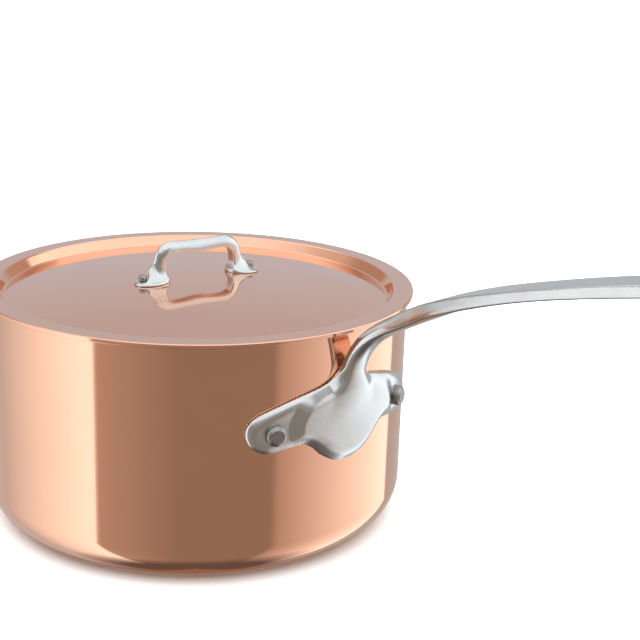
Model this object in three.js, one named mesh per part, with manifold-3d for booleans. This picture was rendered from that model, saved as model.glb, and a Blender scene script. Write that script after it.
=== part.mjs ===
// A lidded copper saucepan: a copper body lined with stainless steel, a long cast handle held by two
// rivets, and a copper lid lined the same way, with a cast loop handle held by two rivets.
// Millimetres. The origin is the centre of the flat base, +Z is up and +X runs along the long handle.

import * as THREE from "three";
import { mergeVertices } from "three/addons/utils/BufferGeometryUtils.js";
import Module from "manifold-3d";

const wasm = await Module();
wasm.setup();

// ---- Driving dimensions -----------------------------------------------------------------------

const GAP = 0.3; // clearance between pieces that touch
const COPPER = 1.2; // thickness of the copper sheet
const LINING = 0.5; // thickness of the stainless steel lining
const SHEET = COPPER + GAP + LINING; // whole thickness of the lined sheet

const PAN_RADIUS = 101;
const PAN_HEIGHT = 109;
const BASE_FILLET = 17.6; // outer radius of the round between base and wall

const LID_RADIUS = 103.7;
const LID_TOP = PAN_HEIGHT + GAP + SHEET; // upper face of the lid's flat rim
const LID_WALL_TOP_RADIUS = 94.5; // where the flat rim turns down
const LID_WALL_FOOT_RADIUS = 91.5; // where the wall meets the crowned panel
const LID_WALL_DEPTH = 5;
const LID_CROWN = 6.7; // rise of the panel from its edge to its centre

const PLATE_THICKNESS = 3; // wings of the handle's root plate
const SHIELD_THICKNESS = 4.7; // raised middle of the plate
const PLATE_RADIUS = PAN_RADIUS + GAP; // back face of the plate
const RIVET_TURN = THREE.MathUtils.degToRad(21.5); // each side of the handle, about the pan's axis
const RIVET_HEIGHT = 70;

const RIVET_SHANK_RADIUS = 2.4;
const RIVET_HEAD_RADIUS = 4.2;
const RIVET_HEAD_HEIGHT = 3.6;
const RIVET_INNER_RADIUS = 4;
const RIVET_INNER_HEIGHT = 1.6;
const HEAD_TAPER = { radius: 0.96, height: 0.55 }; // where a head starts to close, as parts of its size
const HEAD_FLAT = 0.64; // flat top of a head, as a part of its radius
const INNER_FLAT = { radius: 0.65, height: 0.9 }; // the same for the low heads inside

const LID_HANDLE_TURN = THREE.MathUtils.degToRad(80); // direction of the loop, about the lid's axis
const LOOP_HALF_SPAN = 21; // from the lid's centre to the middle of each leg
const LOOP_HEIGHT = 15.3; // from the panel's centre to the middle of the bar
const LOOP_CORNER = 6; // bend radius at the middle of the bar
const LOOP_BAR = { along: 6, across: 5.8 }; // section of legs and bar
const FOOT_CENTRE = 25.2;
const FOOT = { along: 7.8, across: 6.6, rise: 6 }; // half-lengths of the foot, and where its flare ends
const FOOT_EDGE = 1.7; // thickness of the foot at its toe
const FOOT_SHOULDER = { out: 0.8, rise: 0.9, along: 1.8, across: 1.6 }; // flare's middle, over the leg's size
const LEG_SET_IN = 0.1; // how far a foot's top lies inside its leg
const LEG_ROOT = 1; // how far a leg reaches below the panel's centre, before it is cut to the panel
const LID_RIVET_CENTRE = 29.4;
const LID_RIVET_SHANK_RADIUS = 1.3;
const LID_RIVET_HEAD_RADIUS = 2.1;
const LID_RIVET_HEAD_HEIGHT = 2.4;
const LID_RIVET_INNER_HEIGHT = 1;

const HANG_HOLE = { x: 295, length: 17, width: 8 };
const HANDLE_END = 309; // how far the handle reaches from the pan's axis
const HANDLE_END_THINNING = 0.3; // part of the blade's depth lost at its tip

const ROUND_STEPS = 72; // facets round the pan and the lid
const SMALL_ROUND_STEPS = 20; // facets round rivets and their holes
const FILLET_STEPS = 4;
const CURVE_STEPS = 10; // facets of each curve in a flat outline
const CUT_REACH = 10; // how far a cutting solid reaches beyond what it cuts

const COPPER_LOOK = { color: 0xd9926c, roughness: 0.16, metalness: 1 };
const STEEL_LOOK = { color: 0xc9c9c7, roughness: 0.3, metalness: 1 };
const RIVET_LOOK = { color: 0x9c9b98, roughness: 0.35, metalness: 1 };

// ---- Solids ------------------------------------------------------------------------------------

// A closed surface as a solid that can be joined and cut.
function solidOf(geometry) {
  const bare = geometry.clone();
  bare.deleteAttribute("normal");
  bare.deleteAttribute("uv");
  const merged = mergeVertices(bare, 1e-4);
  return new wasm.Manifold(
    new wasm.Mesh({
      numProp: 3,
      vertProperties: merged.attributes.position.array,
      triVerts: new Uint32Array(merged.index.array),
    }),
  );
}

// A solid as a surface.
function geometryOf(solid) {
  const mesh = solid.getMesh();
  const geometry = new THREE.BufferGeometry();
  geometry.setAttribute("position", new THREE.BufferAttribute(mesh.vertProperties, 3));
  geometry.setIndex(new THREE.BufferAttribute(mesh.triVerts, 1));
  geometry.computeVertexNormals();
  return geometry;
}

// A profile of [radius, height] points, turned about the Z axis.
function turned(profile, steps = ROUND_STEPS) {
  const points = profile.map(([radius, height]) => new THREE.Vector2(radius, height));
  return new THREE.LatheGeometry(points, steps).rotateX(Math.PI / 2);
}

// A straight round bar along +Z.
function bar(radius, from, to) {
  return turned([[0, from], [radius, from], [radius, to], [0, to]], SMALL_ROUND_STEPS);
}

// A flat outline in Y and Z, made a solid that reaches along +X.
function reachingAlongX(shape, length) {
  const settings = { depth: length, bevelEnabled: false, curveSegments: CURVE_STEPS };
  const geometry = new THREE.ExtrudeGeometry(shape, settings);
  return geometry.rotateX(Math.PI / 2).rotateZ(Math.PI / 2);
}

// A rounded bar whose section changes from station to station. Each station has its centre, the
// direction across the bar, the direction of its depth, and half its width and depth.
function lofted(stations, sides = 16) {
  const positions = [];
  const index = [];
  const addRing = ({ centre, across, deep, halfWidth, halfDepth, squareness }) => {
    for (let i = 0; i < sides; i++) {
      const turn = ((i + 0.5) / sides) * 2 * Math.PI;
      const c = Math.cos(turn);
      const s = Math.sin(turn);
      const reach = (Math.abs(c) ** squareness + Math.abs(s) ** squareness) ** (-1 / squareness);
      const point = centre
        .clone()
        .addScaledVector(across, c * reach * halfWidth)
        .addScaledVector(deep, s * reach * halfDepth);
      positions.push(point.x, point.y, point.z);
    }
  };
  stations.forEach(addRing);
  for (let k = 0; k + 1 < stations.length; k++) {
    for (let i = 0; i < sides; i++) {
      const a = k * sides + i;
      const b = k * sides + ((i + 1) % sides);
      index.push(a, b, a + sides, b, b + sides, a + sides);
    }
  }
  const last = (stations.length - 1) * sides;
  for (let i = 1; i + 1 < sides; i++) {
    index.push(0, i + 1, i);
    index.push(last, last + i, last + i + 1);
  }
  const geometry = new THREE.BufferGeometry();
  geometry.setAttribute("position", new THREE.Float32BufferAttribute(positions, 3));
  geometry.setIndex(index);
  return geometry;
}

// A riveted pin's profile: a low head inside the sheet, the shank, and a hammered head outside.
function rivetProfile({ shank, inner, innerRadius, innerHeight, outer, radius, height }) {
  return [
    [0, inner - innerHeight],
    [innerRadius * INNER_FLAT.radius, inner - innerHeight * INNER_FLAT.height],
    [innerRadius, inner],
    [shank, inner],
    [shank, outer],
    [radius, outer],
    [radius * HEAD_TAPER.radius, outer + height * HEAD_TAPER.height],
    [radius * HEAD_FLAT, outer + height],
    [0, outer + height],
  ];
}

function mesh(name, geometry, look) {
  const made = new THREE.Mesh(geometry, new THREE.MeshStandardMaterial(look));
  made.name = name;
  return made;
}

// ---- Pan body ----------------------------------------------------------------------------------

// Half outline of the pan's outside, moved inwards by a distance: from the axis to the rim.
function panOutline(inwards) {
  const fillet = BASE_FILLET - inwards;
  const points = [[0, inwards]];
  for (let i = 0; i <= FILLET_STEPS; i++) {
    const turn = ((i / FILLET_STEPS) * Math.PI) / 2;
    const radius = PAN_RADIUS - BASE_FILLET + fillet * Math.sin(turn);
    points.push([radius, BASE_FILLET - fillet * Math.cos(turn)]);
  }
  points.push([PAN_RADIUS - inwards, PAN_HEIGHT]);
  return points;
}

function panSheet(outside, inside) {
  return solidOf(turned([...panOutline(outside), ...panOutline(inside).reverse()]));
}

// A round bar pointing out of the pan's wall at one of the two rivets.
function atPanRivet(side, geometry) {
  return geometry.rotateY(Math.PI / 2).translate(0, 0, RIVET_HEIGHT).rotateZ(side * RIVET_TURN);
}

function withPanRivetHoles(solid) {
  const drill = () => bar(RIVET_SHANK_RADIUS + GAP, PAN_RADIUS - CUT_REACH, PAN_RADIUS + CUT_REACH);
  const hole = (side) => solidOf(atPanRivet(side, drill()));
  return solid.subtract(hole(1)).subtract(hole(-1));
}

function panRivet(side) {
  const profile = rivetProfile({
    shank: RIVET_SHANK_RADIUS,
    inner: PAN_RADIUS - SHEET - 2 * GAP,
    innerRadius: RIVET_INNER_RADIUS,
    innerHeight: RIVET_INNER_HEIGHT,
    outer: PLATE_RADIUS + PLATE_THICKNESS + GAP,
    radius: RIVET_HEAD_RADIUS,
    height: RIVET_HEAD_HEIGHT,
  });
  return atPanRivet(side, turned(profile, SMALL_ROUND_STEPS));
}

// ---- Long handle -------------------------------------------------------------------------------

// The plate's outline, as it lies flattened on the wall: half of it, mirrored to the other side.
function plateShape() {
  const half = [
    [0, 50.6],
    [7, 51.6],
    [13.5, 55],
    [19, 59.8],
    [24.5, 62.6],
    [33, 61.8],
    [40.5, 60.8],
    [45.6, 63.4],
    [48.3, 67.8],
    [48.5, 73],
    [45.6, 77.4],
    [39, 80.8],
    [28, 84.6],
    [15, 88],
    [6, 91.5],
  ];
  const other = half.slice(1).reverse().map(([y, z]) => [-y, z]);
  return new THREE.Shape([...half, ...other].map(([y, z]) => new THREE.Vector2(y, z)));
}

// The raised middle of the plate, inside its outline.
function shieldShape() {
  const half = [
    [0, 52.8],
    [6.5, 53.8],
    [12, 57],
    [17, 61.5],
    [22.5, 66],
    [23.6, 71.5],
    [20.5, 77.6],
    [13, 83],
    [6, 89],
  ];
  const other = half.slice(1).reverse().map(([y, z]) => [-y, z]);
  return new THREE.Shape([...half, ...other].map(([y, z]) => new THREE.Vector2(y, z)));
}

// An outline bent round the pan's wall, as thick as told.
function onPanWall(shape, thickness) {
  const inner = PLATE_RADIUS;
  const outer = PLATE_RADIUS + thickness;
  const ring = turned([[inner, 0], [outer, 0], [outer, PAN_HEIGHT], [inner, PAN_HEIGHT], [inner, 0]]);
  return solidOf(reachingAlongX(shape, outer + CUT_REACH)).intersect(solidOf(ring));
}

// Stem and blade: [x, z] of the middle, width, depth and squareness of the section.
const HANDLE_STATIONS = [
  [102.6, 80, 14, 6.6, 2.4],
  [104.2, 91, 12.2, 7.4, 2.4],
  [108, 101, 12, 7.6, 2.4],
  [113.7, 108.7, 12, 7.8, 2.4],
  [120.8, 114.7, 12.4, 7.8, 2.5],
  [129.8, 120.2, 13.8, 7.6, 2.8],
  [140.8, 126.2, 18.2, 7.1, 3.2],
  [155, 133.2, 24.6, 6.4, 4],
  [172, 139.9, 27.6, 5.4, 4.5],
  [195, 147.3, 27, 4.6, 4.5],
  [220, 154.1, 26, 4.7, 4.5],
  [246, 160.2, 25.4, 4.9, 4.5],
  [272, 165.8, 25.4, 5, 4.5],
  [296, 170.6, 26, 5, 4.5],
];

function stemAndBlade() {
  const middle = new THREE.SplineCurve(HANDLE_STATIONS.map(([x, z]) => new THREE.Vector2(x, z)));
  const sizes = HANDLE_STATIONS.map(([, , width, depth]) => new THREE.Vector2(width, depth));
  const size = new THREE.SplineCurve(sizes);
  const steps = 2 * (HANDLE_STATIONS.length - 1);
  const across = new THREE.Vector3(0, 1, 0);
  const station = (at, along, halfWidth, halfDepth, squareness) => ({
    centre: new THREE.Vector3(at.x, 0, at.y),
    across,
    deep: new THREE.Vector3(-along.y, 0, along.x),
    halfWidth,
    halfDepth,
    squareness,
  });
  const stations = [];
  for (let i = 0; i <= steps; i++) {
    const t = i / steps;
    const [width, depth] = size.getPoint(t).toArray();
    const squareness = HANDLE_STATIONS[Math.floor(i / 2)][4];
    stations.push(station(middle.getPoint(t), middle.getTangent(t), width / 2, depth / 2, squareness));
  }
  // The blade ends in a round: its width follows a circle to the tip.
  const end = stations[stations.length - 1];
  const along = middle.getTangent(1);
  const reach = (HANDLE_END - end.centre.x) / along.x;
  const roundSteps = 6;
  for (let i = 1; i <= roundSteps; i++) {
    const turn = ((i / (roundSteps + 0.5)) * Math.PI) / 2;
    const at = new THREE.Vector2(end.centre.x, end.centre.z).addScaledVector(along, reach * Math.sin(turn));
    const depth = end.halfDepth * (1 - HANDLE_END_THINNING * (i / roundSteps) ** 3);
    stations.push(station(at, along, end.halfWidth * Math.cos(turn), depth, end.squareness));
  }
  return lofted(stations);
}

function hangHole() {
  const half = HANG_HOLE.width / 2;
  const straight = HANG_HOLE.length / 2 - half;
  const slot = new THREE.Shape();
  slot.absarc(straight, 0, half, -Math.PI / 2, Math.PI / 2);
  slot.absarc(-straight, 0, half, Math.PI / 2, (3 * Math.PI) / 2);
  const [, bladeEnd] = HANDLE_STATIONS[HANDLE_STATIONS.length - 1];
  const settings = { depth: 2 * CUT_REACH, bevelEnabled: false, curveSegments: CURVE_STEPS };
  const geometry = new THREE.ExtrudeGeometry(slot, settings);
  return geometry.translate(HANG_HOLE.x, 0, bladeEnd - CUT_REACH);
}

function longHandle() {
  const clearOfPan = turned([[0, 0], [PLATE_RADIUS, 0], [PLATE_RADIUS, LID_TOP], [0, LID_TOP]]);
  const casting = onPanWall(plateShape(), PLATE_THICKNESS)
    .add(onPanWall(shieldShape(), SHIELD_THICKNESS))
    .add(solidOf(stemAndBlade()))
    .subtract(solidOf(clearOfPan))
    .subtract(solidOf(hangHole()));
  return withPanRivetHoles(casting);
}

// ---- Lid ---------------------------------------------------------------------------------------

const PANEL_EDGE_HEIGHT = LID_TOP - LID_WALL_DEPTH;

// Height of the crowned panel's upper face at a distance from the lid's axis.
function panelHeight(radius) {
  return PANEL_EDGE_HEIGHT + LID_CROWN * (1 - (radius / LID_WALL_FOOT_RADIUS) ** 2);
}

// Half outline of the lid's upper face, moved down and outwards through the sheet by a distance.
function lidOutline(below) {
  const points = [];
  const panelSteps = 4;
  for (let i = 0; i < panelSteps; i++) {
    const radius = (LID_WALL_FOOT_RADIUS * i) / panelSteps;
    points.push([radius, panelHeight(radius) - below]);
  }
  points.push([LID_WALL_FOOT_RADIUS + below, PANEL_EDGE_HEIGHT - below]);
  points.push([LID_WALL_TOP_RADIUS + below, LID_TOP - below]);
  points.push([LID_RADIUS, LID_TOP - below]);
  return points;
}

function atLidRivet(side, geometry) {
  return geometry.translate(side * LID_RIVET_CENTRE, 0, 0).rotateZ(LID_HANDLE_TURN);
}

function withLidRivetHoles(solid) {
  const drill = () => bar(LID_RIVET_SHANK_RADIUS + GAP, LID_TOP - CUT_REACH, LID_TOP + 2 * CUT_REACH);
  const hole = (side) => solidOf(atLidRivet(side, drill()));
  return solid.subtract(hole(1)).subtract(hole(-1));
}

function lidSheet(upper, lower) {
  const solid = solidOf(turned([...lidOutline(lower), ...lidOutline(upper).reverse()]));
  return withLidRivetHoles(solid);
}

function lidRivet(side) {
  const panel = panelHeight(LID_RIVET_CENTRE);
  const profile = rivetProfile({
    shank: LID_RIVET_SHANK_RADIUS,
    inner: panel - SHEET - 1.5 * GAP,
    innerRadius: LID_RIVET_HEAD_RADIUS,
    innerHeight: LID_RIVET_INNER_HEIGHT,
    outer: panel + GAP + FOOT_EDGE + 1.5 * GAP,
    radius: LID_RIVET_HEAD_RADIUS,
    height: LID_RIVET_HEAD_HEIGHT,
  });
  return atLidRivet(side, turned(profile, SMALL_ROUND_STEPS));
}

// The loop's legs and bar: an ellipse carried along a path with two round corners.
function loopBar() {
  const centre = panelHeight(0);
  const across = new THREE.Vector3(0, 1, 0);
  const stations = [];
  const add = (x, z, turn) =>
    stations.push({
      centre: new THREE.Vector3(x, 0, z),
      across,
      deep: new THREE.Vector3(-Math.sin(turn), 0, Math.cos(turn)),
      halfWidth: LOOP_BAR.across / 2,
      halfDepth: LOOP_BAR.along / 2,
      squareness: 2,
    });
  const top = centre + LOOP_HEIGHT;
  const cornerSteps = 5;
  add(-LOOP_HALF_SPAN, centre - LEG_ROOT, Math.PI / 2);
  for (let i = 0; i <= cornerSteps; i++) {
    const turn = (Math.PI / 2) * (1 - i / cornerSteps);
    const x = -LOOP_HALF_SPAN + LOOP_CORNER * (1 - Math.sin(turn));
    add(x, top - LOOP_CORNER * (1 - Math.cos(turn)), turn);
  }
  for (const done of [...stations].reverse()) {
    add(-done.centre.x, done.centre.z, Math.atan2(done.deep.x, done.deep.z));
  }
  return solidOf(lofted(stations, 12));
}

// One flared foot, an oval cone that runs up into its leg.
function foot(side) {
  const low = panelHeight(0) - 2 * LEG_ROOT;
  const toe = panelHeight(LID_RIVET_CENTRE) + GAP + FOOT_EDGE;
  const across = new THREE.Vector3(0, 1, 0);
  const deep = new THREE.Vector3(-1, 0, 0);
  const ring = (x, z, halfDepth, halfWidth) => ({
    centre: new THREE.Vector3(side * x, 0, z),
    across,
    deep,
    halfWidth,
    halfDepth,
    squareness: 2,
  });
  const [legAlong, legAcross] = [LOOP_BAR.along / 2, LOOP_BAR.across / 2];
  const { out, rise, along, across: widened } = FOOT_SHOULDER;
  return solidOf(
    lofted([
      ring(FOOT_CENTRE, low, FOOT.along, FOOT.across),
      ring(FOOT_CENTRE, toe, FOOT.along, FOOT.across),
      ring(LOOP_HALF_SPAN + out, toe + rise, legAlong + along, legAcross + widened),
      ring(LOOP_HALF_SPAN, toe + FOOT.rise, legAlong - LEG_SET_IN, legAcross - LEG_SET_IN),
    ]),
  );
}

// The space above a foot where its rivet's head sits.
function rivetSeat(side) {
  const from = panelHeight(LID_RIVET_CENTRE) + GAP + FOOT_EDGE;
  return solidOf(atLidRivet(side, bar(LID_RIVET_HEAD_RADIUS + GAP, from, from + CUT_REACH)));
}

function lidHandle() {
  const steps = 6;
  const profile = [[0, 0]];
  for (let i = steps; i >= 0; i--) {
    const radius = (LID_WALL_FOOT_RADIUS * i) / steps;
    profile.push([radius, panelHeight(radius) + GAP]);
  }
  profile.splice(1, 0, [LID_WALL_FOOT_RADIUS, 0]);
  const clearOfLid = solidOf(turned(profile));
  const loop = loopBar().add(foot(1)).add(foot(-1)).subtract(clearOfLid);
  const turnedLoop = solidOf(geometryOf(loop).rotateZ(LID_HANDLE_TURN));
  return withLidRivetHoles(turnedLoop).subtract(rivetSeat(1)).subtract(rivetSeat(-1));
}

// ---- Assembly ----------------------------------------------------------------------------------

const pan = new THREE.Group();
pan.add(mesh("pan_shell", geometryOf(withPanRivetHoles(panSheet(0, COPPER))), COPPER_LOOK));
pan.add(mesh("pan_lining", geometryOf(withPanRivetHoles(panSheet(COPPER + GAP, SHEET))), STEEL_LOOK));
pan.add(mesh("handle", geometryOf(longHandle()), STEEL_LOOK));
pan.add(mesh("handle_rivet_left", panRivet(1), RIVET_LOOK));
pan.add(mesh("handle_rivet_right", panRivet(-1), RIVET_LOOK));

const lid = new THREE.Group();
lid.add(mesh("lid_shell", geometryOf(lidSheet(0, COPPER)), COPPER_LOOK));
lid.add(mesh("lid_lining", geometryOf(lidSheet(COPPER + GAP, SHEET)), STEEL_LOOK));
lid.add(mesh("lid_handle", geometryOf(lidHandle()), STEEL_LOOK));
lid.add(mesh("lid_rivet_left", lidRivet(1), RIVET_LOOK));
lid.add(mesh("lid_rivet_right", lidRivet(-1), RIVET_LOOK));

const saucepan = new THREE.Group();
saucepan.add(pan, lid);

export default saucepan;
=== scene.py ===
import math

import bpy
import numpy as np
import openvdb
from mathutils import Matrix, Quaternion, Vector


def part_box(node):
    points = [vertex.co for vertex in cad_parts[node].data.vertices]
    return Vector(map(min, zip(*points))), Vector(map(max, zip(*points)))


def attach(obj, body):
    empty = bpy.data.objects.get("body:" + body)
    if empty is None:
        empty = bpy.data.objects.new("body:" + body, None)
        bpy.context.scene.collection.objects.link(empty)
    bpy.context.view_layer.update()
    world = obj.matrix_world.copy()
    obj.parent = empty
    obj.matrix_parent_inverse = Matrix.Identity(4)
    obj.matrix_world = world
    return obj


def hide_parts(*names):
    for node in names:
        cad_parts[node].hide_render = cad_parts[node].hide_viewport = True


# Looks of a lidded copper saucepan. Shapes are worked out in millimetres, in the part's own frame:
# the origin is the centre of the pan's flat base, +Z is up and +X runs along the long handle.
# Turned pieces (sheets and rivets) are lathe meshes with exact normals. The two castings (the long
# handle and the loop on the lid) are solids of signed distance, meshed and then fitted exactly.

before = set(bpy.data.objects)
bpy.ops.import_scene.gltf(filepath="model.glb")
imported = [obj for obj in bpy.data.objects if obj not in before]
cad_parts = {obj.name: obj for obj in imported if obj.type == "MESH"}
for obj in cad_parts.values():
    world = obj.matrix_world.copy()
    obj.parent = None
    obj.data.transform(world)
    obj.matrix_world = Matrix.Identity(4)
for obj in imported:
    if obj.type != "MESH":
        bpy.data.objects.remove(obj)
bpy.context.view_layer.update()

MM = 0.001
FULL_TURN = 2 * math.pi
LEAST_TURN = 1e-4  # corners of an outline that turn less than this are left alone

# ---- Driving dimensions, millimetres ----------------------------------------------------------

PAN_RADIUS, PAN_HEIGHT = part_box("pan_shell")[1].x / MM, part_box("pan_shell")[1].z / MM
LID_RADIUS, LID_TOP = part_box("lid_shell")[1].x / MM, PAN_HEIGHT + 2.3
SHEET = 2.0  # copper and lining together
COPPER = 1.46
LINING_START = 1.5  # depth under the copper's face at which the lining starts
BASE_FILLET = 17.6
SHEET_EDGE = 0.3  # round on the sheet's cut edges

LID_WALL_TOP = 94.5  # radius where the lid's flat rim turns down
LID_WALL_FOOT = 91.5  # radius where that wall meets the crowned panel
LID_WALL_DEPTH = 5
LID_CROWN = 6.7
RIM_TURN = 101.4  # radius beyond which the lid's copper takes the whole thickness of the rim
LINING_END = 101.1

BACK_FACE = PAN_RADIUS + 0.3  # back of the long handle's plate
WING_THICKNESS = 3.0
WING_SUNK = 0.35  # how far a wing's face lies below its raised rim
SHIELD_THICKNESS = 4.7
PLATE_EDGE = 1.1  # thickness of the plate at its very edge
PLATE_BEVEL = 0.68  # rise of the bevel for each millimetre inwards
RIVET_TURN = math.radians(21.5)
RIVET_HEIGHT = 70

HANG_SLOT = {"x": 295, "straight": 4.5, "radius": 4}

LOOP_TURN = math.radians(80)
LOOP_HEIGHT = 15.3
LID_RIVET_CENTRE = 29.4


# ---- Meshes -----------------------------------------------------------------------------------


def piece(name, mesh_data, body, slot, material, *nodes):
    """A named object from (vertices in mm, faces, vertex normals), riding on a body."""
    vertices, faces, normals = mesh_data
    mesh = bpy.data.meshes.new(name)
    mesh.from_pydata((np.asarray(vertices) * MM).tolist(), [], [list(map(int, f)) for f in faces])
    mesh.polygons.foreach_set("use_smooth", [True] * len(mesh.polygons))
    mesh.normals_split_custom_set_from_vertices(np.asarray(normals).tolist())
    mesh.materials.append(material)
    made = bpy.data.objects.new(name, mesh)
    bpy.context.scene.collection.objects.link(made)
    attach(made, body)
    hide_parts(*nodes)
    return made


def turn_between(before, after):
    return math.atan2(before[0] * after[1] - before[1] * after[0], before @ after)


def corner_arc(knot, before, normal, turn, corner):
    """Points and outward normals round one corner, from the side that leads into it."""
    side = math.copysign(1, turn)
    start = knot - before * (corner * math.tan(abs(turn) / 2))
    centre = start - normal * corner * side
    steps = max(4, round(abs(turn) * (2 + corner)))
    points, normals = [], []
    for k in range(steps + 1):
        angle = turn * k / steps
        c, s = math.cos(angle), math.sin(angle)
        outwards = np.array([c * normal[0] - s * normal[1], s * normal[0] + c * normal[1]])
        points.append(centre + outwards * corner * side)
        normals.append(outwards)
    return points, normals


def rounded(outline):
    """Points and outward normals along an outline of (radius, height, corner radius)."""
    knots = np.array([(r, z) for r, z, _ in outline], float)
    directions = np.diff(knots, axis=0)
    directions /= np.linalg.norm(directions, axis=1)[:, None]
    outward = np.stack([directions[:, 1], -directions[:, 0]], axis=1)
    points, normals = [knots[0]], [outward[0]]
    for i in range(1, len(knots) - 1):
        before, normal, corner = directions[i - 1], outward[i - 1], outline[i][2]
        turn = turn_between(before, directions[i])
        if corner == 0 or abs(turn) < LEAST_TURN:
            mean = normal + outward[i]
            points.append(knots[i])
            normals.append(mean / np.linalg.norm(mean))
            continue
        arc_points, arc_normals = corner_arc(knots[i], before, normal, turn, corner)
        points.extend(arc_points)
        normals.extend(arc_normals)
    points.append(knots[-1])
    normals.append(outward[-1])
    return np.array(points), np.array(normals)


def turned(outline, steps=288):
    """A closed solid turned about Z. The outline goes from the axis, out, up and back to the axis."""
    points, normals = rounded(outline)
    turns = np.arange(steps) * FULL_TURN / steps
    c, s = np.cos(turns), np.sin(turns)
    inner_points, inner_normals = points[1:-1], normals[1:-1]
    rings = [np.stack([r * c, r * s, np.full(steps, z)], 1) for r, z in inner_points]
    ring_normals = [np.stack([r * c, r * s, np.full(steps, z)], 1) for r, z in inner_normals]
    low, high = (0, 0, points[0][1]), (0, 0, points[-1][1])
    vertices = np.concatenate([[low], *rings, [high]])
    all_normals = np.concatenate([[(0, 0, -1)], *ring_normals, [(0, 0, 1)]])
    faces = []
    after = [(j + 1) % steps for j in range(steps)]
    last = len(vertices) - 1
    top_ring = 1 + (len(rings) - 1) * steps
    for j in range(steps):
        faces.append((0, 1 + after[j], 1 + j))
        faces.append((last, top_ring + j, top_ring + after[j]))
    for k in range(len(rings) - 1):
        a, b = 1 + k * steps, 1 + (k + 1) * steps
        faces.extend((a + j, a + after[j], b + after[j], b + j) for j in range(steps))
    return vertices, faces, all_normals


def moved(mesh_data, axes, origin):
    """Mesh data with its X, Y and Z axes laid along three others, then moved."""
    vertices, faces, normals = mesh_data
    turn = np.array(axes, float)
    return vertices @ turn + np.array(origin, float), faces, normals @ turn


# ---- Castings as signed distance --------------------------------------------------------------

BLOCK = 8  # cells along each edge of a block that is sampled, or skipped, as one
NEAR_BLOCKS = 1.6  # a block is sampled when its middle is nearer the surface than this many edges
FAR_VALUE = 10.0  # distance given to cells that aren't sampled
BATCH = 600  # blocks sampled at a time
FITTING_STEPS = 3  # moves of the vertices onto the exact surface
LEAST_SLOPE = 0.2  # limit on the squared slope, which keeps those moves short
SLOPE_STEP = 0.04  # millimetres


def smooth_step(low, high, value):
    t = np.clip((value - low) / (high - low), 0, 1)
    return t * t * (3 - 2 * t)


def smooth_min(a, b, reach):
    h = np.maximum(reach - np.abs(a - b), 0) / reach
    return np.minimum(a, b) - h * h * reach / 4


def smooth_max(a, b, reach):
    return -smooth_min(-a, -b, reach)


def spline(knots, steps, closed=False):
    """Points along a Catmull-Rom curve through the knots, steps to each span."""
    knots = np.array(knots, float)
    if closed:
        padded = np.concatenate([knots[-1:], knots, knots[:2]])
    else:
        padded = np.concatenate([[2 * knots[0] - knots[1]], knots, [2 * knots[-1] - knots[-2]]])
    t = (np.arange(steps) / steps)[:, None]
    spans = []
    for a, b, c, d in zip(padded, padded[1:], padded[2:], padded[3:]):
        spans.append(b + 0.5 * t * (c - a + t * (2 * a - 5 * b + 4 * c - d + t * (3 * (b - c) + d - a))))
    if not closed:
        spans.append(knots[-1:])
    return np.concatenate(spans)


def outline_distance(u, v, outline):
    """Distance in a plane from a closed outline, negative inside it."""
    nearest = np.full(u.shape, np.inf)
    inside = np.zeros(u.shape, bool)
    for (au, av), (bu, bv) in zip(outline, np.roll(outline, -1, axis=0)):
        du, dv = bu - au, bv - av
        t = np.clip(((u - au) * du + (v - av) * dv) / (du * du + dv * dv), 0, 1)
        nearest = np.minimum(nearest, (u - au - t * du) ** 2 + (v - av - t * dv) ** 2)
        crosses = (av > v) != (bv > v)
        if dv != 0:
            inside ^= crosses & (u < au + (v - av) * du / dv)
    return np.where(inside, -1, 1) * np.sqrt(nearest)


def along_curve(u, v, curve):
    """For points in a plane: place along a polyline (in points), offset to its left, overshoot."""
    segments = np.diff(curve, axis=0)
    lengths = np.linalg.norm(segments, axis=1)
    directions = segments / lengths[:, None]
    best = np.full(u.shape, np.inf)
    place, offset, beyond = np.zeros(u.shape), np.zeros(u.shape), np.zeros(u.shape)
    for i, ((au, av), (du, dv), length) in enumerate(zip(curve, directions, lengths)):
        reach = (u - au) * du + (v - av) * dv
        held = np.clip(reach, 0, length)
        gap = (u - au - held * du) ** 2 + (v - av - held * dv) ** 2
        nearer = gap < best
        best = np.where(nearer, gap, best)
        place = np.where(nearer, i + held / length, place)
        offset = np.where(nearer, (v - av) * du - (u - au) * dv, offset)
        beyond = np.where(nearer, reach - held, beyond)
    return place, offset, beyond


def sampled(distance, low, size, cell):
    """The distance at each cell near the surface, and one value for the cells far from it."""
    corner = np.indices(size // BLOCK).reshape(3, -1).T * BLOCK
    rough = distance(low + (corner + (BLOCK - 1) / 2) * cell)
    near = np.abs(rough) < NEAR_BLOCKS * BLOCK * cell
    field = np.full(size, FAR_VALUE, np.float32)
    for (i, j, k), value in zip(corner[~near], rough[~near]):
        if value < 0:
            field[i : i + BLOCK, j : j + BLOCK, k : k + BLOCK] = -FAR_VALUE
    steps = np.indices((BLOCK, BLOCK, BLOCK)).reshape(3, -1).T
    kept = corner[near]
    for start in range(0, len(kept), BATCH):
        at = (kept[start : start + BATCH, None, :] + steps[None]).reshape(-1, 3)
        field[at[:, 0], at[:, 1], at[:, 2]] = distance(low + at * cell)
    return field


def value_and_slope(distance, points):
    slopes = []
    for axis in np.eye(3) * SLOPE_STEP:
        slopes.append((distance(points + axis) - distance(points - axis)) / (2 * SLOPE_STEP))
    return distance(points), np.stack(slopes, axis=1)


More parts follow.
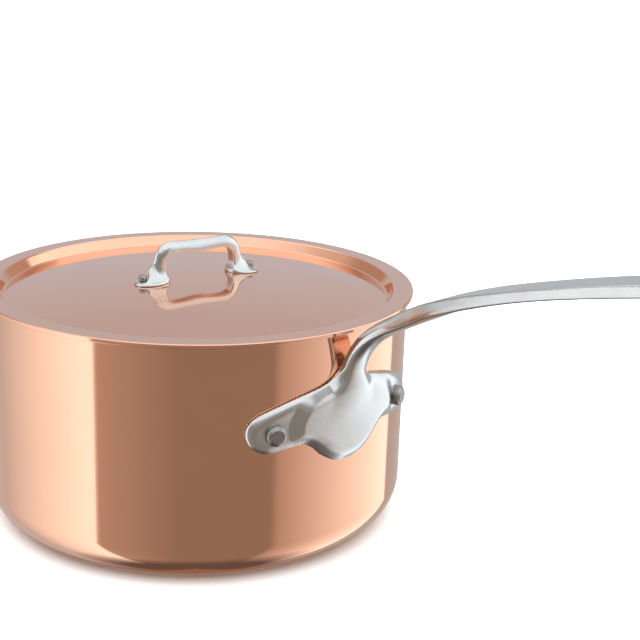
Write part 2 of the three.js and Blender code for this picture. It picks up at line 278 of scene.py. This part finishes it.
def cast(distance, low, high, cell):
    """Mesh data of the solid inside a signed distance, within a box, from cells of one size."""
    low, high = np.array(low, float), np.array(high, float)
    size = np.ceil((high - low) / (cell * BLOCK)).astype(int) * BLOCK
    grid = openvdb.FloatGrid(background=FAR_VALUE)
    grid.copyFromArray(sampled(distance, low, size, cell))
    vertices, faces = grid.convertToQuads(isovalue=0.0)
    vertices = low + vertices.astype(float) * cell
    for _ in range(FITTING_STEPS):
        value, slope = value_and_slope(distance, vertices)
        shift = value[:, None] * slope / np.maximum((slope**2).sum(1), LEAST_SLOPE)[:, None]
        vertices -= np.clip(shift, -cell, cell)
    _, slope = value_and_slope(distance, vertices)
    return vertices, faces, slope / np.linalg.norm(slope, axis=1)[:, None]


# ---- Sheets of the pan and the lid ------------------------------------------------------------


def pan_face(inwards, rim_corner):
    """The pan's outside from the axis to the rim, moved inwards through the sheet."""
    radius = PAN_RADIUS - inwards
    return [(0, inwards, 0), (radius, inwards, BASE_FILLET - inwards), (radius, PAN_HEIGHT, rim_corner)]


def pan_sheet(outer, inner):
    return turned(pan_face(outer, SHEET_EDGE) + pan_face(inner, SHEET_EDGE)[::-1])


def panel_height(radius):
    return LID_TOP - LID_WALL_DEPTH + LID_CROWN * (1 - (radius / LID_WALL_FOOT) ** 2)


def lid_face(below, foot_corner, shoulder_corner, edge, edge_corner):
    """The lid's upper face from the axis to the rim, moved down and out through the sheet."""
    panel_steps = 40
    radii = [(LID_WALL_FOOT - 3) * i / panel_steps for i in range(panel_steps + 1)]
    face = [(r, panel_height(r) - below, 0) for r in radii]
    face.append((LID_WALL_FOOT + below, panel_height(LID_WALL_FOOT) - below, foot_corner))
    face.append((LID_WALL_TOP + below, LID_TOP - below, shoulder_corner))
    face.append((edge, LID_TOP - below, edge_corner))
    return face


def lid_copper_sheet():
    under = lid_face(COPPER, 0.6, 0.5, RIM_TURN, 0.1)
    over = lid_face(0, 1.0, 1.3, LID_RADIUS, 0.6)
    rim = [(RIM_TURN, LID_TOP - SHEET, 0.1), (LID_RADIUS, LID_TOP - SHEET, 0.4)]
    return turned(under + rim + over[::-1])


def lid_lining_sheet():
    under = lid_face(SHEET, 0.6, 0.5, LINING_END, 0.15)
    over = lid_face(LINING_START, 1.0, 1.3, LINING_END, 0.15)
    return turned(under + over[::-1])


# ---- Rivets -----------------------------------------------------------------------------------

# A head is (radius, height, radius of its flat top). The inner heads are on the lining.
PAN_RIVET_SHANK = 2.4
PAN_RIVET_HEAD = (4.6, 3.1, 3.1)
PAN_RIVET_INNER_HEAD = (4, 1.6, 2.2)
LID_RIVET_SHANK = 1.3
LID_RIVET_HEAD = (2.0, 2.7, 1.3)
LID_RIVET_INNER_HEAD = (2.1, 1, 1.2)
LID_RIVET_SEAT = 1.9  # height of the head's base above the panel


def rivet(shank, base, head, inner_base, inner_head, steps):
    """A riveted pin about Z, with the base height of each of its two heads."""
    radius, height, flat = head
    inner_radius, inner_height, inner_flat = inner_head
    outline = [
        (0, inner_base - inner_height, 0),
        (inner_flat, inner_base - inner_height, 0.4 * inner_height),
        (inner_radius, inner_base - 0.3 * inner_height, 0.3 * inner_height),
        (inner_radius, inner_base, 0.1 * inner_height),
        (shank, inner_base, 0.05),
        (shank, base, 0.05),
        (radius, base, 0.06 * height),
        (radius, base + 0.62 * height, 0.45 * height),
        (flat, base + height, 0.28 * height),
        (0, base + height, 0),
    ]
    return turned(outline, steps)


def pan_rivet(side):
    inner_base = PAN_RADIUS - SHEET
    base = BACK_FACE + WING_THICKNESS - WING_SUNK
    out = (math.cos(side * RIVET_TURN), math.sin(side * RIVET_TURN), 0)
    across = (-out[1], out[0], 0)
    axes = [across, (0, 0, 1), out]
    data = rivet(PAN_RIVET_SHANK, base, PAN_RIVET_HEAD, inner_base, PAN_RIVET_INNER_HEAD, 64)
    return moved(data, axes, (0, 0, RIVET_HEIGHT))


def lid_rivet(side):
    panel = panel_height(LID_RIVET_CENTRE)
    base, inner_base = panel + LID_RIVET_SEAT, panel - SHEET
    data = rivet(LID_RIVET_SHANK, base, LID_RIVET_HEAD, inner_base, LID_RIVET_INNER_HEAD, 48)
    x, y = side * LID_RIVET_CENTRE * math.cos(LOOP_TURN), side * LID_RIVET_CENTRE * math.sin(LOOP_TURN)
    return moved(data, np.eye(3), (x, y, 0))


# ---- Long handle ------------------------------------------------------------------------------

# Half of the plate's outline, and half of its raised shield, as (across, height).
PLATE_HALF = [
    (0, 50.6),
    (7, 51.6),
    (13.5, 55),
    (19, 59.8),
    (24.5, 62.6),
    (33, 61.8),
    (40.5, 60.8),
    (45.6, 63.4),
    (48.3, 67.8),
    (48.5, 73),
    (45.6, 77.4),
    (39, 80.8),
    (28, 84.6),
    (15, 88),
    (6, 91.5),
]
SHIELD_HALF = [
    (0, 49),
    (8, 51),
    (14, 55),
    (18.5, 60),
    (22.5, 65),
    (25, 71),
    (22.7, 77),
    (18, 81),
    (12, 84.5),
    (7, 90),
]
SHIELD_SLOPE = 7.5  # width of the slope from a wing up to the shield

# Stem and blade: (x, z) of the middle, width, depth, round of the lower corners, and how far the
# section has changed from the stem's D shape, flat on its wall side, to the blade's flat bar.
HANDLE_STATIONS = [
    (96.4, 61, 16, 3, 2, 0),
    (99.2, 70, 16.4, 3.6, 2, 0),
    (101.8, 78, 15.6, 5, 3, 0),
    (103.4, 85.5, 14.2, 6, 3.4, 0),
    (105.1, 93, 13.4, 6.2, 3.4, 0),
    (108.3, 101, 13.2, 6.4, 3.4, 0),
    (113.9, 108.7, 13.2, 6.6, 3.4, 0.1),
    (121, 114.7, 13.4, 6.8, 3.0, 0.4),
    (130, 120.2, 14.4, 7.0, 2.7, 0.8),
    (140.8, 126.2, 18.2, 7.1, 3.2, 1),
    (155, 133.2, 24.6, 6.4, 3, 1),
    (172, 139.9, 27.6, 5.4, 2.5, 1),
    (195, 147.3, 27, 4.6, 1.9, 1),
    (220, 154.1, 26, 4.7, 1.6, 1),
    (246, 160.2, 25.4, 4.9, 1.6, 1),
    (272, 165.8, 25.4, 4.9, 1.6, 1),
    (296, 170.6, 26, 4.7, 1.6, 1),
]
STEM_SIDE = 2.0  # depth of the stem at which its section is widest
STEM_SLANT = math.radians(24)  # of the strips along its sides, towards the wall
BLADE_SLANT = 0.32  # how much narrower the blade gets for each millimetre of its depth
UPPER_ROUND = 0.7  # round of the crisp edges along the stem's wall side and the blade's top
WING_DIP = (1.8, 8)  # distances in from the edge between which a wing's face sinks
PLATE_ROUND = 1.6  # where the bevel meets the plate's face
EDGE_ROUND = 1.2  # the plate's outer edge, and the edges of the hanging slot
BACK_ROUND = 0.9  # the edges against the pan's wall
STEM_BLEND = 6  # width of the hollow where the stem grows out of the plate
STEM_SIDE_ROUND = 0.5
STEM_BACK_ROUND = 0.8
HANDLE_BOX = ((86, -53, 46), (313, 53, 182))


def on_wall(half):
    """A mirrored half outline, as a smooth closed curve of (arc along the wall, height)."""
    whole = half + [(-y, z) for y, z in half[:0:-1]]
    laid = [(BACK_FACE * math.asin(y / BACK_FACE), z) for y, z in whole]
    return spline(laid, 5, closed=True)


PLATE_OUTLINE = on_wall(PLATE_HALF)
SHIELD_OUTLINE = on_wall(SHIELD_HALF)
HANDLE_CURVE = spline(HANDLE_STATIONS, 6)


def plate_distance(points):
    """The plate: a height over the pan's wall, inside its outline."""
    x, y, z = points.T
    arc = BACK_FACE * np.arctan2(y, x)
    height = np.hypot(x, y) - BACK_FACE
    edge = outline_distance(arc, z, PLATE_OUTLINE)
    shield = outline_distance(arc, z, SHIELD_OUTLINE)
    wing = WING_THICKNESS - WING_SUNK * smooth_step(*WING_DIP, -edge)
    raised = smooth_step(SHIELD_SLOPE, 0, shield)
    face = wing + (SHIELD_THICKNESS - wing) * raised
    bevel = PLATE_EDGE - PLATE_BEVEL * edge
    front = height - smooth_min(face, bevel, PLATE_ROUND)
    front /= 1 + 0.2 * raised
    return smooth_max(smooth_max(front, edge, EDGE_ROUND), -height, BACK_ROUND)


def oval_distance(u, v, half_u, half_v):
    """About the distance from an ellipse in its own plane, true next to its edge."""
    a, b = np.abs(u) / half_u, np.abs(v) / half_v
    reach = np.maximum(np.hypot(a, b), 1e-3)
    slope = np.hypot(a / reach / half_u, b / reach / half_v)
    return (reach - 1) / slope


def bar_distance(u, v, half_u, half_v, lower_round):
    """The distance from a bar's section, its sides slanted and its upper corners crisper."""
    corner = np.where(v > 0, UPPER_ROUND, lower_round)
    slanted = (u - half_u + BLADE_SLANT * (v + half_v)) / math.hypot(1, BLADE_SLANT)
    side, top = slanted + corner, np.abs(v) - half_v + corner
    outside = np.hypot(np.maximum(side, 0), np.maximum(top, 0))
    return outside + np.minimum(np.maximum(side, top), 0) - corner


def stem_distance(points):
    """Stem and blade: a section carried along the middle curve, round at its far end."""
    x, y, z = points.T
    place, offset, beyond = along_curve(x, z, HANDLE_CURVE[:, :2])
    at = np.arange(len(HANDLE_CURVE))
    width, depth, lower_round, flat = (np.interp(place, at, HANDLE_CURVE[:, k]) for k in (2, 3, 4, 5))
    half_width, half_depth = width / 2, depth / 2
    past = np.where(place > len(HANDLE_CURVE) - 1.5, np.maximum(beyond, 0), 0)
    blade = bar_distance(np.hypot(y, past), offset, half_width, half_depth, lower_round)
    crest = offset - half_depth + STEM_SIDE
    dome = oval_distance(y, crest, half_width, depth - STEM_SIDE)
    slant = (np.abs(y) - half_width) * math.cos(STEM_SLANT) + crest * math.sin(STEM_SLANT)
    stem = smooth_max(dome, slant, STEM_SIDE_ROUND)
    stem = smooth_max(stem, offset - half_depth, STEM_BACK_ROUND)
    solid = stem + (blade - stem) * np.clip(flat, 0, 1)
    start = np.where(place <= 0, -beyond, -5)
    return np.maximum(solid, start)


def slot_distance(points):
    x, y, _ = points.T
    straight = HANG_SLOT["straight"]
    reach = np.abs(x - HANG_SLOT["x"]) - straight
    return np.hypot(np.maximum(reach, 0), y) - HANG_SLOT["radius"]


def handle_distance(points):
    """The whole casting. The plate and the slot are worked out only near their own places."""
    far = 1e3
    near_wall = (points[:, 0] < PAN_RADIUS + 26) & (points[:, 2] < 110)
    near_end = points[:, 0] > HANG_SLOT["x"] - 30
    plate = np.full(len(points), far)
    plate[near_wall] = plate_distance(points[near_wall])
    solid = smooth_min(stem_distance(points), plate, STEM_BLEND)
    clear_of_wall = BACK_FACE - np.hypot(points[:, 0], points[:, 1])
    solid = smooth_max(solid, clear_of_wall, BACK_ROUND)
    slot = np.full(len(points), -far)
    slot[near_end] = -slot_distance(points[near_end])
    return smooth_max(solid, slot, EDGE_ROUND)


def long_handle():
    cell = 0.6
    return cast(handle_distance, *HANDLE_BOX, cell)


# ---- Loop on the lid --------------------------------------------------------------------------

# Half of the loop's middle line, from a foot up to the middle of the bar, as (x, height above the
# panel's centre), with the section's half-sizes across the loop's plane and within it.
LOOP_STATIONS = [
    (22.6, -2.5, 3.3, 4.2),
    (22.2, 1.5, 3.2, 3.7),
    (21.6, 5.5, 3.0, 3.0),
    (20.8, 9.5, 2.85, 2.7),
    (19.4, 13.1, 2.9, 2.8),
    (16, 15.4, 3.0, 2.8),
    (10, 15.7, 2.9, 2.5),
    (0, 15.2, 3.0, 2.9),
]
LOOP_SIDE = 0.8  # distance from the loop's flat inner side at which its section is widest


def loop_curve():
    half = LOOP_STATIONS
    whole = [(-x, z, a, b) for x, z, a, b in half] + list(half[-2::-1])
    return spline(whole, 8)


LOOP_CURVE = loop_curve()
LOOP_BLEND = 4  # width of the hollow where a leg grows out of its foot
LOOP_SIDE_ROUND = 0.9
SPOT_FACE = {"radius": 2.8, "height": 1.85, "round": 0.9}
FOOT = {"centre": 25.2, "along": 8.2, "across": 6.9, "thickness": 1.1, "swell": 5.0}


def foot_distance(x, y, height):
    """Both oval feet: thin at the rim, and swelling towards the leg."""
    u = np.abs(x) - FOOT["centre"]
    side = oval_distance(u, y, FOOT["along"], FOOT["across"])
    inwards = np.clip(-side / FOOT["across"], 0, 1)
    face = FOOT["thickness"] + FOOT["swell"] * inwards**1.7
    return smooth_max(smooth_max(side, (height - face) * 0.8, 1.0), -height, 0.3)


def loop_distance(points):
    centre = panel_height(0)
    c, s = math.cos(LOOP_TURN), math.sin(LOOP_TURN)
    x, y = points[:, 0] * c + points[:, 1] * s, -points[:, 0] * s + points[:, 1] * c
    z = points[:, 2]
    place, offset, _ = along_curve(x, z - centre, LOOP_CURVE[:, :2])
    at = np.arange(len(LOOP_CURVE))
    across, within = (np.interp(place, at, LOOP_CURVE[:, k]) for k in (2, 3))
    dome = oval_distance(y, offset + within - LOOP_SIDE, across, 2 * within - LOOP_SIDE)
    legs = smooth_max(dome, -offset - within, LOOP_SIDE_ROUND)
    on_panel = panel_height(np.hypot(x, y)) + 0.05
    height = z - on_panel
    feet = foot_distance(x, y, height)
    solid = smooth_min(legs, feet, LOOP_BLEND)
    spot = spot_face_distance(x, y, z)
    return smooth_max(smooth_max(solid, -height, 0.2), -spot, SPOT_FACE["round"])


def spot_face_distance(x, y, z):
    """Room for the rivet heads: flats cut into the toes of the feet."""
    reach = np.hypot(np.abs(x) - LID_RIVET_CENTRE, y) - SPOT_FACE["radius"]
    floor = panel_height(LID_RIVET_CENTRE) + SPOT_FACE["height"]
    return np.maximum(reach, floor - z)


def lid_loop():
    cell = 0.35
    span = 36
    low, high = panel_height(0) - 3, panel_height(0) + LOOP_HEIGHT + 5
    return cast(loop_distance, (-16, -span, low), (16, span, high), cell)


# ---- Materials --------------------------------------------------------------------------------


def node(tree, kind, inputs=None, **settings):
    """A node with its settings and its inputs, where an input is a value or another's output."""
    made = tree.nodes.new(kind)
    for key, value in settings.items():
        setattr(made, key, value)
    for key, value in (inputs or {}).items():
        if isinstance(value, bpy.types.NodeSocket):
            tree.links.new(value, made.inputs[key])
        else:
            made.inputs[key].default_value = value
    return made


def maths(tree, operation, *inputs):
    return node(tree, "ShaderNodeMath", dict(enumerate(inputs)), operation=operation).outputs[0]


def ramp(tree, value, stops, interpolation="LINEAR"):
    made = node(tree, "ShaderNodeValToRGB", {"Fac": value})
    made.color_ramp.interpolation = interpolation
    elements = made.color_ramp.elements
    while len(elements) < len(stops):
        elements.new(0.5)
    for element, (position, _) in zip(elements, stops):
        element.position = position
    for element, (_, colour) in zip(elements, stops):
        element.color = (*colour, 1)
    return made.outputs["Color"]


def metal(name, roughness):
    """A metallic material, its node tree and its shader."""
    material = bpy.data.materials.new(name)
    material.use_nodes = True
    tree = material.node_tree
    shader = tree.nodes["Principled BSDF"]
    shader.inputs["Metallic"].default_value = 1
    shader.inputs["Roughness"].default_value = roughness
    return material, tree, shader


def noise(tree, vector, scale, detail=2.0):
    inputs = {"Vector": vector, "Scale": scale, "Detail": detail}
    return node(tree, "ShaderNodeTexNoise", inputs).outputs["Fac"]


def spread(tree, value, low, high):
    """A value from 0 to 1, spread over another range."""
    inputs = {"Value": value, "From Min": 0.3, "From Max": 0.7, "To Min": low, "To Max": high}
    return node(tree, "ShaderNodeMapRange", inputs).outputs["Result"]


def ring_vector(tree, around, rings):
    """Coordinates that change slowly round the Z axis and fast from one ring to the next."""
    place = node(tree, "ShaderNodeTexCoord").outputs["Object"]
    x, y, z = node(tree, "ShaderNodeSeparateXYZ", {"Vector": place}).outputs
    squares = maths(tree, "ADD", maths(tree, "MULTIPLY", x, x), maths(tree, "MULTIPLY", y, y))
    radius = maths(tree, "SQRT", squares)
    held = maths(tree, "MAXIMUM", radius, 0.002)
    cos = maths(tree, "MULTIPLY", maths(tree, "DIVIDE", x, held), around)
    sin = maths(tree, "MULTIPLY", maths(tree, "DIVIDE", y, held), around)
    ring = maths(tree, "MULTIPLY", maths(tree, "ADD", radius, z), rings)
    return node(tree, "ShaderNodeCombineXYZ", {"X": cos, "Y": sin, "Z": ring}).outputs[0]


def stretched(tree, scales):
    """Object coordinates, scaled along each axis."""
    place = node(tree, "ShaderNodeTexCoord").outputs["Object"]
    return node(tree, "ShaderNodeMapping", {"Vector": place, "Scale": scales}).outputs["Vector"]


def bump(tree, shader, height, distance):
    inputs = {"Height": height, "Strength": 1.0, "Distance": distance}
    tree.links.new(node(tree, "ShaderNodeBump", inputs).outputs["Normal"], shader.inputs["Normal"])


def mix(tree, factor, first, second):
    made = node(tree, "ShaderNodeMix", {"Factor": factor}, data_type="RGBA")
    for socket, value in ((made.inputs[6], first), (made.inputs[7], second)):
        if isinstance(value, bpy.types.NodeSocket):
            tree.links.new(value, socket)
        else:
            socket.default_value = (*value, 1)
    return made.outputs[2]


def polished_copper():
    """Buffed copper: fine rings left by the polishing wheel and a slow drift of colour."""
    material, tree, shader = metal("polished_copper", 0.1)
    fine = noise(tree, ring_vector(tree, 5, 1600), 1.0, 3)
    broad = noise(tree, ring_vector(tree, 2.5, 260), 1.0, 3)
    cloud = noise(tree, stretched(tree, (18, 18, 30)), 1.0, 3)
    colour = mix(tree, spread(tree, cloud, 0, 1), (0.97, 0.575, 0.415), (0.96, 0.56, 0.395))
    colour = mix(tree, spread(tree, fine, 0, 0.12), colour, (0.88, 0.46, 0.31))
    tree.links.new(colour, shader.inputs["Base Color"])
    rough = maths(tree, "ADD", spread(tree, broad, 0.04, 0.07), spread(tree, fine, 0, 0.015))
    tree.links.new(rough, shader.inputs["Roughness"])
    bump(tree, shader, fine, 0.0000015)
    return material


def ringed_steel():
    """Stainless steel lining, brushed in rings."""
    material, tree, shader = metal("ringed_steel", 0.3)
    fine = noise(tree, ring_vector(tree, 4, 2200), 1.0, 3)
    colour = mix(tree, spread(tree, fine, 0, 1), (0.8, 0.79, 0.78), (0.7, 0.69, 0.68))
    tree.links.new(colour, shader.inputs["Base Color"])
    tree.links.new(spread(tree, fine, 0.22, 0.36), shader.inputs["Roughness"])
    bump(tree, shader, fine, 0.000008)
    return material


def satin_casting(name, grain):
    """Cast steel with a satin finish, its fine scratches drawn out along the piece."""
    material, tree, shader = metal(name, 0.27)
    scratches = noise(tree, stretched(tree, grain), 1.0, 4)
    cloud = noise(tree, stretched(tree, (90, 90, 90)), 1.0, 3)
    colour = mix(tree, spread(tree, cloud, 0, 1), (0.71, 0.75, 0.77), (0.66, 0.695, 0.715))
    colour = mix(tree, spread(tree, scratches, 0, 0.3), colour, (0.58, 0.61, 0.62))
    tree.links.new(colour, shader.inputs["Base Color"])
    rough = maths(tree, "ADD", spread(tree, scratches, 0.15, 0.2), spread(tree, cloud, -0.01, 0.03))
    tree.links.new(rough, shader.inputs["Roughness"])
    bump(tree, shader, scratches, 0.000004)
    return material


def rivet_steel():
    """Rougher steel of the hammered rivet heads; its dark base colour is painted shade, standing for the
    shade and dark reflections on the small heads.
    """
    material, tree, shader = metal("rivet_steel", 0.3)
    cloud = noise(tree, stretched(tree, (500, 500, 500)), 1.0, 3)
    fine = noise(tree, stretched(tree, (2400, 2400, 2400)), 1.0, 2)
    # Painted shade: a dark base colour on the rivet heads, in two tones that drift at random.
    colour = mix(tree, spread(tree, cloud, 0, 1), (0.3, 0.295, 0.29), (0.42, 0.415, 0.41))
    tree.links.new(colour, shader.inputs["Base Color"])
    tree.links.new(spread(tree, fine, 0.25, 0.4), shader.inputs["Roughness"])
    bump(tree, shader, cloud, 0.00006)
    return material


def floor_material():
    material = bpy.data.materials.new("pale_floor")
    material.use_nodes = True
    shader = material.node_tree.nodes["Principled BSDF"]
    shader.inputs["Base Color"].default_value = (0.86, 0.86, 0.86, 1)
    shader.inputs["Roughness"].default_value = 0.9
    shader.inputs["Specular IOR Level"].default_value = 0.1
    return material


# ---- Studio -----------------------------------------------------------------------------------

# How far each compass direction lies behind the pan, where the light from below is dim.
BEHIND = [
    (-180, (0, 0, 0)),
    (110, (0, 0, 0)),
    (122, (1, 1, 1)),
    (158, (1, 1, 1)),
    (172, (0, 0, 0)),
    (180, (0, 0, 0)),
]
DIM = (0.3, 0.19, 0.13)
CEILING = (1.15, 1.15, 1.15)
UNDERFOOT = (0.14, 0.11, 0.1)
BACKDROP = (0.93, 0.93, 0.93, 1)  # the plain room that the camera sees

# What stands round the pan, seen in its walls: light by the compass direction in degrees from the
# handle's. Two wide soft boxes, each fading away from the camera, with a warm dark gap between them.
SOFT_BOX = (1.4, 1.4, 1.4)
ROOM = (0.6, 0.6, 0.6)
ROOM_BEHIND = (0.5, 0.5, 0.5)
GAP_EDGE = (0.5, 0.4, 0.35)
GAP = (0.3, 0.25, 0.2)
AROUND = [
    (-180, ROOM),
    (-165, ROOM),
    (-100, SOFT_BOX),
    (-95, SOFT_BOX),
    (-94, GAP_EDGE),
    (-50, GAP),
    (0, GAP),
    (5, GAP_EDGE),
    (80, SOFT_BOX),
    (90, SOFT_BOX),
    (91, ROOM_BEHIND),
    (180, ROOM),
]

# The same just above the horizon, with a cool backdrop behind the pan.
LOW = [
    (-180, (0.45, 0.33, 0.26)),
    (-160, (0.48, 0.36, 0.29)),
    (-150, (0.72, 0.63, 0.58)),
    (-140, (0.98, 0.95, 0.93)),
    (-128, (1.25, 1.22, 1.2)),
    (-95, (1.35, 1.33, 1.3)),
    (-92, (0.36, 0.33, 0.31)),
    (0, (0.36, 0.33, 0.31)),
    (12, (0.9, 0.88, 0.86)),
    (45, (1.38, 1.38, 1.36)),
    (84, (1.38, 1.38, 1.36)),
    (88, (0.5, 0.37, 0.3)),
    (106, (0.5, 0.38, 0.31)),
    (117, (0.54, 0.58, 0.64)),
    (134, (0.55, 0.6, 0.68)),
    (160, (0.54, 0.58, 0.65)),
    (170, (0.45, 0.33, 0.26)),
    (180, (0.45, 0.33, 0.26)),
]

# And higher up, where the blade's flat top looks.
HIGH = [
    (-180, (0.45, 0.34, 0.27)),
    (-165, (0.5, 0.38, 0.3)),
    (-150, (0.64, 0.54, 0.48)),
    (-120, (0.85, 0.8, 0.77)),
    (-46, (0.95, 0.94, 0.92)),
    (0, (1.25, 1.22, 1.18)),
    (77, (1.3, 1.26, 1.22)),
    (82, (0.52, 0.38, 0.3)),
    (108, (0.52, 0.4, 0.33)),
    (124, (0.53, 0.56, 0.64)),
    (158, (0.53, 0.56, 0.64)),
    (180, (0.45, 0.34, 0.27)),
]


def compass_ramp(tree, azimuth, stops):
    placed = [((degrees + 180) / 360, colour) for degrees, colour in stops]
    return ramp(tree, azimuth, placed)


def studio_world():
    """Surroundings seen only in reflections; to the camera the room is plain and pale."""
    world = bpy.data.worlds.new("studio")
    world.use_nodes = True
    tree = world.node_tree
    tree.nodes.clear()
    direction = node(tree, "ShaderNodeTexCoord").outputs["Generated"]
    x, y, z = node(tree, "ShaderNodeSeparateXYZ", {"Vector": direction}).outputs
    turn = maths(tree, "ARCTAN2", y, x)
    azimuth = maths(tree, "MULTIPLY_ADD", turn, 1 / FULL_TURN, 0.5)
    colour = compass_ramp(tree, azimuth, AROUND)
    layers = [
        (0.03, 0.14, compass_ramp(tree, azimuth, LOW)),
        (0.34, 0.5, compass_ramp(tree, azimuth, HIGH)),
        (0.58, 0.74, CEILING),
        (-0.82, -0.95, UNDERFOOT),
    ]
    for start, end, layer in layers:
        reached = node(tree, "ShaderNodeMapRange", {"Value": z, "From Min": start, "From Max": end})
        colour = mix(tree, reached.outputs["Result"], colour, layer)
    below = node(tree, "ShaderNodeMapRange", {"Value": z, "From Min": -0.45, "From Max": -0.7})
    behind = maths(tree, "MULTIPLY", below.outputs["Result"], compass_ramp(tree, azimuth, BEHIND))
    colour = mix(tree, behind, colour, DIM)
    reflected = node(tree, "ShaderNodeBackground", {"Color": colour, "Strength": 1.0})
    plain = node(tree, "ShaderNodeBackground", {"Color": BACKDROP, "Strength": 1.0})
    is_camera = node(tree, "ShaderNodeLightPath").outputs["Is Camera Ray"]
    choices = {"Fac": is_camera, 1: reflected.outputs[0], 2: plain.outputs[0]}
    shown = node(tree, "ShaderNodeMixShader", choices)
    node(tree, "ShaderNodeOutputWorld", {"Surface": shown.outputs[0]})
    bpy.context.scene.world = world


def floor():
    """A wide pale floor that the polished walls don't mirror."""
    reach = 40
    mesh = bpy.data.meshes.new("floor")
    corners = [(-reach, -reach, 0), (reach, -reach, 0), (reach, reach, 0), (-reach, reach, 0)]
    mesh.from_pydata(corners, [], [(0, 1, 2, 3)])
    mesh.materials.append(floor_material())
    made = bpy.data.objects.new("floor", mesh)
    made.visible_glossy = False
    bpy.context.scene.collection.objects.link(made)


def soft_sun():
    """A very wide lamp straight above, for the floor alone: metal has only reflections."""
    light = bpy.data.lights.new("overhead", "SUN")
    light.energy = 4.5
    light.angle = math.radians(100)
    made = bpy.data.objects.new("overhead", light)
    made.visible_glossy = False
    bpy.context.scene.collection.objects.link(made)


CAMERA_PLACE = Vector((0.45205, -0.37931, 0.26818))
CAMERA_TARGET = Vector((0.0512, 0.0328, 0.0964))
CAMERA_ROLL = math.radians(1.97)
LENS = 70.96


def camera():
    lens = bpy.data.cameras.new("camera")
    lens.lens = LENS
    lens.sensor_width = 36
    lens.clip_end = 200
    made = bpy.data.objects.new("camera", lens)
    made.location = CAMERA_PLACE
    level = (CAMERA_TARGET - CAMERA_PLACE).to_track_quat("-Z", "Y")
    made.rotation_euler = (level @ Quaternion((0, 0, 1), CAMERA_ROLL)).to_euler()
    bpy.context.scene.collection.objects.link(made)
    bpy.context.scene.camera = made


def studio():
    scene = bpy.context.scene
    scene.view_settings.view_transform = "Standard"
    studio_world()
    floor()
    soft_sun()
    camera()


# ---- The object -------------------------------------------------------------------------------


def build_pan(copper, lining, casting, rivets):
    piece("pan_copper", pan_sheet(0, COPPER), "pan", "copper", copper, "pan_shell")
    piece("pan_steel", pan_sheet(LINING_START, SHEET), "pan", "lining", lining, "pan_lining")
    piece("pan_handle", long_handle(), "pan", "cast_steel", casting, "handle")
    for side, word in ((1, "left"), (-1, "right")):
        name = "handle_rivet_" + word
        piece(f"pan_rivet_{word}", pan_rivet(side), "pan", "rivet_steel", rivets, name)


def build_lid(copper, lining, casting, rivets):
    piece("lid_copper", lid_copper_sheet(), "lid", "copper", copper, "lid_shell")
    piece("lid_steel", lid_lining_sheet(), "lid", "lining", lining, "lid_lining")
    piece("lid_loop", lid_loop(), "lid", "cast_steel", casting, "lid_handle")
    for side, word in ((1, "left"), (-1, "right")):
        name = "lid_rivet_" + word
        piece(f"lid_pin_{word}", lid_rivet(side), "lid", "rivet_steel", rivets, name)


def build():
    studio()
    copper, lining, rivets = polished_copper(), ringed_steel(), rivet_steel()
    build_pan(copper, lining, satin_casting("brushed_casting", (60, 900, 900)), rivets)
    build_lid(copper, lining, satin_casting("satin_casting", (500, 500, 500)), rivets)


build()
